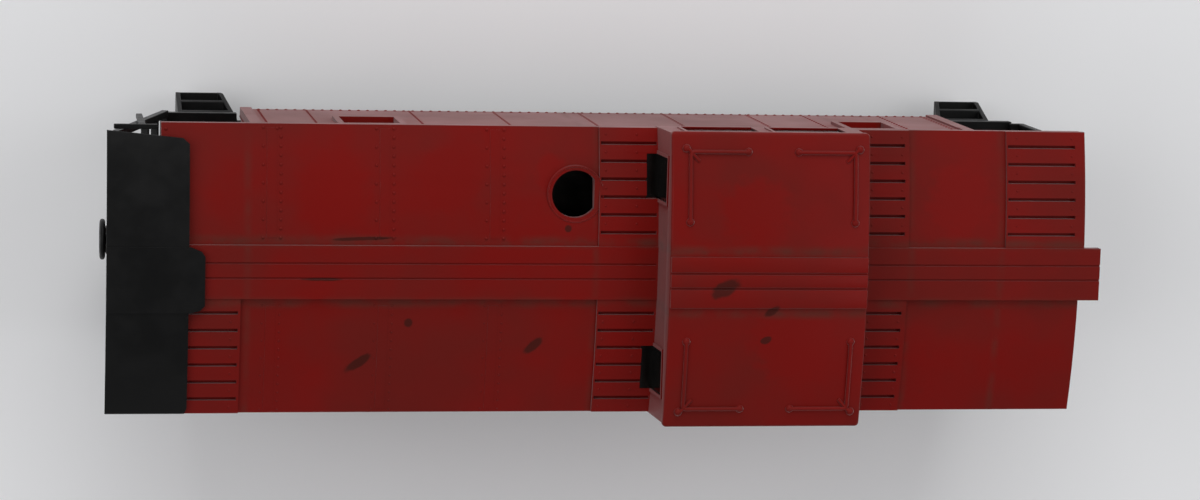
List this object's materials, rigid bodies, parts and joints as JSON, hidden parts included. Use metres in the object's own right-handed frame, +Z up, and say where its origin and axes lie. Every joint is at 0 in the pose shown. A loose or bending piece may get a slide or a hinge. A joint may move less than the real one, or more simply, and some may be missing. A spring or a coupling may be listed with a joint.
{
  "type": "model railway caboose",
  "caption": "HO scale wide-cupola caboose: red moulded body on a black underframe with swivelling trucks, rolling wheelsets and knuckle couplers.",
  "frame": {"origin": "on the floor under the middle of the car, where the wheel flanges stand", "axes": "+X along the car to its A end, +Y to the left side seen when facing the A end, +Z up"},
  "size_m": [0.133, 0.0378, 0.0509],
  "materials": {
    "red_plastic": "red moulded styrene with a dusty satin surface",
    "black_plastic": "black moulded plastic, satin",
    "dark_glazing": "dark smoked styrene, glossy",
    "steel": "plain mild steel",
    "axle_steel": "turned steel",
    "wheel_metal": "turned and chemically darkened metal with a bright tread",
    "coupler_metal": "die-cast metal, blackened"
  },
  "bodies": {
    "car": {"body_shell": "red_plastic", "cupola_roof": "red_plastic", "cupola_glazing": "dark_glazing", "underframe": "black_plastic", "end_frame_b": "black_plastic", "canopy_b": "black_plastic", "end_railing_a": "black_plastic", "end_ladder_a": "black_plastic", "canopy_bracket_b_left": "black_plastic", "canopy_bracket_b_right": "black_plastic", "air_tank": "black_plastic", "brake_cylinder": "black_plastic", "battery_box": "black_plastic", "steps_b_left": "black_plastic", "steps_b_right": "black_plastic", "steps_a_left": "black_plastic", "steps_a_right": "black_plastic", "coupler_lid_a": "black_plastic", "coupler_lid_b": "black_plastic", "ballast_weight": "steel", "truck_screw_a": "steel", "truck_screw_b": "steel"},
    "truck_a": {"truck_frame_a": "black_plastic"},
    "wheelset_a1": {"axle_a1": "axle_steel", "wheel_a1_left": "wheel_metal", "wheel_a1_right": "wheel_metal"},
    "wheelset_a2": {"axle_a2": "axle_steel", "wheel_a2_left": "wheel_metal", "wheel_a2_right": "wheel_metal"},
    "coupler_a": {"coupler_a": "coupler_metal"},
    "knuckle_a": {"knuckle_a": "coupler_metal"},
    "truck_b": {"truck_frame_b": "black_plastic"},
    "wheelset_b1": {"axle_b1": "axle_steel", "wheel_b1_left": "wheel_metal", "wheel_b1_right": "wheel_metal"},
    "wheelset_b2": {"axle_b2": "axle_steel", "wheel_b2_left": "wheel_metal", "wheel_b2_right": "wheel_metal"},
    "coupler_b": {"coupler_b": "coupler_metal"},
    "knuckle_b": {"knuckle_b": "coupler_metal"},
    "brake_wheel": {"brake_wheel": "black_plastic"}
  },
  "joints": [
    {"name": "truck_a_swivel", "type": "hinge", "parent": "car", "child": "truck_a", "pos_m": [0.0335, 0, 0.0087], "axis": [0, 0, 1], "range_deg": [-12, 12]},
    {"name": "wheelset_a1_roll", "type": "hinge", "parent": "truck_a", "child": "wheelset_a1", "pos_m": [0.023, 0, 0.00545], "axis": [0, 1, 0], "continuous": true},
    {"name": "wheelset_a2_roll", "type": "hinge", "parent": "truck_a", "child": "wheelset_a2", "pos_m": [0.044, 0, 0.00545], "axis": [0, 1, 0], "continuous": true},
    {"name": "coupler_a_swing", "type": "hinge", "parent": "car", "child": "coupler_a", "pos_m": [0.0528, 0, 0.01055], "axis": [0, 0, 1], "range_deg": [-9, 9]},
    {"name": "knuckle_a_open", "type": "hinge", "parent": "coupler_a", "child": "knuckle_a", "pos_m": [0.0636, 0.002, 0.01055], "axis": [0, 0, 1], "range_deg": [0, 35]},
    {"name": "truck_b_swivel", "type": "hinge", "parent": "car", "child": "truck_b", "pos_m": [-0.0335, 0, 0.0087], "axis": [0, 0, 1], "range_deg": [-12, 12]},
    {"name": "wheelset_b1_roll", "type": "hinge", "parent": "truck_b", "child": "wheelset_b1", "pos_m": [-0.044, 0, 0.00545], "axis": [0, 1, 0], "continuous": true},
    {"name": "wheelset_b2_roll", "type": "hinge", "parent": "truck_b", "child": "wheelset_b2", "pos_m": [-0.023, 0, 0.00545], "axis": [0, 1, 0], "continuous": true},
    {"name": "coupler_b_swing", "type": "hinge", "parent": "car", "child": "coupler_b", "pos_m": [-0.0528, 0, 0.01055], "axis": [0, 0, 1], "range_deg": [-9, 9]},
    {"name": "knuckle_b_open", "type": "hinge", "parent": "coupler_b", "child": "knuckle_b", "pos_m": [-0.0636, -0.002, 0.01055], "axis": [0, 0, 1], "range_deg": [0, 35]},
    {"name": "brake_wheel_turn", "type": "hinge", "parent": "car", "child": "brake_wheel", "pos_m": [-0.0655, 0.0033, 0.0374], "axis": [-1, 0, 0], "continuous": true}
  ]
}
